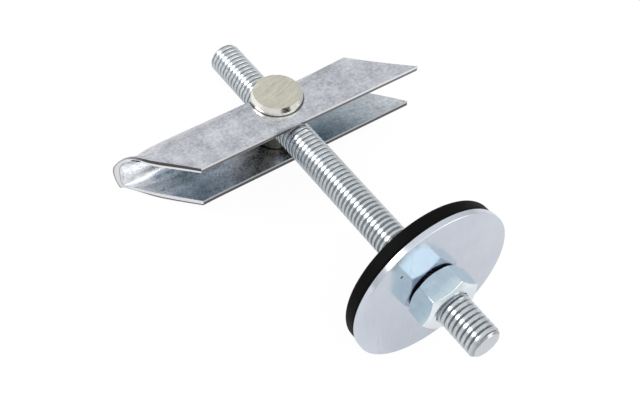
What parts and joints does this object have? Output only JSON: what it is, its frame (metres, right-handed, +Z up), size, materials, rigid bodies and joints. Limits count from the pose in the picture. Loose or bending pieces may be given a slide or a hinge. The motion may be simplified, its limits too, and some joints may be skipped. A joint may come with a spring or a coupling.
{
  "type": "gravity toggle bolt",
  "caption": "Gravity toggle bolt: threaded stud with a folded channel that pivots on a cross pin behind a board, held by a rubber washer, a large steel washer and a nut.",
  "frame": {"origin": "middle of the lying bolt's footprint, on the table", "axes": "+Z up, +Y along the stud towards the nut as seen from above, +X towards the channel's long arm"},
  "size_m": [0.0764, 0.1008, 0.0396],
  "materials": {
    "stud_zinc": "bright zinc plate on a rolled thread",
    "pin_zinc": "yellowish passivated zinc plate, end face turned",
    "channel_zinc": "mottled zinc plate on folded sheet",
    "rubber": "matte black rubber",
    "washer_zinc": "smooth bright zinc plate",
    "nut_zinc": "pale blue zinc plate"
  },
  "bodies": {
    "stud": {"threaded_stud": "stud_zinc"},
    "pin": {"pivot_pin": "pin_zinc"},
    "channel": {"toggle_channel": "channel_zinc"},
    "washers": {"rubber_washer": "rubber", "steel_washer": "washer_zinc"},
    "nut": {"hex_nut": "nut_zinc"}
  },
  "joints": [
    {"name": "pin_travel", "type": "slide", "parent": "stud", "child": "pin", "axis": [0, 0.981, 0.1938], "range_m": [-0.014, 0.002]},
    {"name": "toggle_tilt", "type": "hinge", "parent": "pin", "child": "channel", "pos_m": [-0.00329, -0.02605, 0.00846], "axis": [0.0389, -0.1936, 0.9803], "range_deg": [0, 90]},
    {"name": "washer_travel", "type": "slide", "parent": "stud", "child": "washers", "axis": [0, 0.981, 0.1938], "range_m": [-0.01, 0.01]},
    {"name": "nut_turn", "type": "hinge", "parent": "washers", "child": "nut", "pos_m": [-0.00329, 0.03272, 0.02007], "axis": [0, 0.981, 0.1938], "range_deg": [-2900, 2900]}
  ],
  "couplings": [
    {"joint": "nut_turn", "follows": "washer_travel", "rad_per_m": 5026.5}
  ]
}
